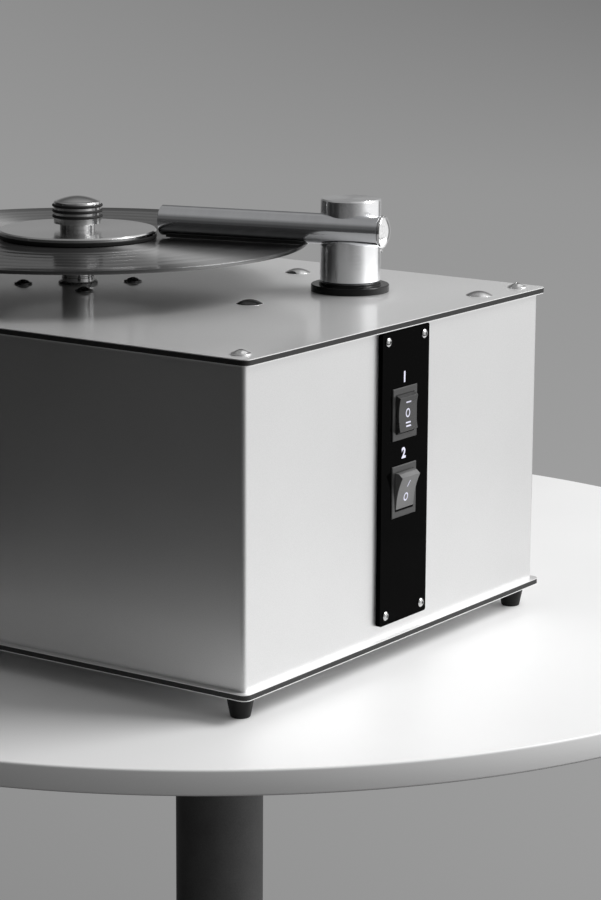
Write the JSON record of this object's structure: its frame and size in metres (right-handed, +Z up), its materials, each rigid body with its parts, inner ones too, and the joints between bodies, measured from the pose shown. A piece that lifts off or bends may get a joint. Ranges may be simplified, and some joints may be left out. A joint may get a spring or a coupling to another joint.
{
  "type": "record cleaning machine",
  "caption": "Desk-top vacuum record cleaning machine: metal box with a turning record support and clamp, a swinging suction arm on a round post, and a side plate with rocker switches.",
  "frame": {"origin": "below the middle of the whole machine in plan, switch rocker and drain cap included, on the plane of the feet's undersides", "axes": "+X along the long side towards the wall with the switch plate, +Y towards the rear panel, +Z up"},
  "size_m": [0.417, 0.356, 0.2733],
  "materials": {
    "plate_core": "black core of the sandwich plates, matt edge",
    "plate_skin": "fine brushed and anodised, almost a mirror at a low angle",
    "wall_metal": "fine brushed and anodised",
    "bar_metal": "drawn",
    "bright_screw": "polished",
    "small_screw": "plain",
    "dark_screw": "darkened",
    "rubber_black": "moulded",
    "gear_case": "die cast",
    "motor_paint": "satin paint",
    "steel": "ground",
    "turned_metal": "fine turned",
    "vinyl": "gloss black with fine grooves",
    "ring_black": "satin black",
    "post_metal": "polished",
    "tube_metal": "brushed along its length",
    "velvet": "short pile",
    "bronze": "turned",
    "tank_plastic": "milky",
    "vacuum_metal": "die cast",
    "fan_plastic": "moulded",
    "gloss_black": "gloss",
    "switch_black": "satin, moulded",
    "grille_black": "satin black",
    "board_green": "lacquered board",
    "wire_black": "sheathed"
  },
  "bodies": {
    "base": {"air_hose": "rubber_black", "arm_base_ring": "ring_black", "base_plate_core": "plate_core", "base_plate_skins": "plate_skin", "case_wrap": "wall_metal", "control_board": "board_green", "corner_bars": "bar_metal", "corner_screws": "bright_screw", "drain_spigot": "switch_black", "exhaust_grille": "grille_black", "fan_case": "fan_plastic", "foot_screws": "small_screw", "gearbox": "gear_case", "hose_clips": "steel", "motor_pad": "rubber_black", "motor_screws": "dark_screw", "platter_motor": "motor_paint", "power_inlet": "switch_black", "rear_panel": "wall_metal", "rear_panel_screws": "small_screw", "rear_trim_screws": "small_screw", "rubber_feet": "rubber_black", "spindle_collar": "turned_metal", "switch_housings": "switch_black", "switch_plate": "gloss_black", "switch_plate_screws": "small_screw", "swivel_bearing": "bronze", "tank_lid": "tank_plastic", "tank_nuts": "steel", "tank_screws": "bright_screw", "tank_seal": "rubber_black", "tank_spacers": "steel", "top_plate_core": "plate_core", "top_plate_skins": "plate_skin", "vacuum_motor": "vacuum_metal", "vacuum_mount_pad": "rubber_black", "vacuum_mount_screws": "small_screw", "waste_tank": "tank_plastic", "wiring": "wire_black"},
    "platter": {"output_shaft": "steel", "spindle_hub": "turned_metal", "support_disc": "turned_metal", "support_pad": "rubber_black", "spindle_pin": "steel", "record": "vinyl"},
    "clamp": {"clamp_disc": "turned_metal", "clamp_seal": "rubber_black", "clamp_knob": "turned_metal", "clamp_rings": "rubber_black"},
    "swivel": {"swivel_pipe": "tube_metal", "swivel_collar": "steel"},
    "arm": {"arm_post": "post_metal", "arm_tube": "tube_metal", "arm_end_cap": "post_metal", "velvet_strips": "velvet", "arm_guide_screw": "bright_screw", "arm_seal_ring": "rubber_black"},
    "motor_switch_rocker": {"motor_rocker": "switch_black"},
    "vacuum_switch_rocker": {"vacuum_rocker": "switch_black"},
    "outlet_cap": {"drain_cap": "switch_black"}
  },
  "joints": [
    {"name": "platter_spin", "type": "hinge", "parent": "base", "child": "platter", "pos_m": [-0.05123, -0.0135, 0.2135], "axis": [0, 0, 1], "continuous": true},
    {"name": "clamp_lift", "type": "slide", "parent": "platter", "child": "clamp", "axis": [0, 0, 1], "range_m": [0, 0.03]},
    {"name": "arm_swing", "type": "hinge", "parent": "base", "child": "swivel", "pos_m": [0.10947, 0.066, 0.2135], "axis": [0, 0, 1], "range_deg": [-90, 0]},
    {"name": "arm_float", "type": "slide", "parent": "swivel", "child": "arm", "axis": [0, 0, 1], "range_m": [-0.0004, 0.004]},
    {"name": "motor_switch_tilt", "type": "hinge", "parent": "base", "child": "motor_switch_rocker", "pos_m": [0.20327, -0.0125, 0.1569], "axis": [0, 1, 0], "range_deg": [-13, 13]},
    {"name": "vacuum_switch_tilt", "type": "hinge", "parent": "base", "child": "vacuum_switch_rocker", "pos_m": [0.20327, -0.0125, 0.1087], "axis": [0, 1, 0], "range_deg": [-26, 0]},
    {"name": "outlet_cap_pull", "type": "slide", "parent": "base", "child": "outlet_cap", "axis": [0, 1, 0], "range_m": [0, 0.02]}
  ]
}
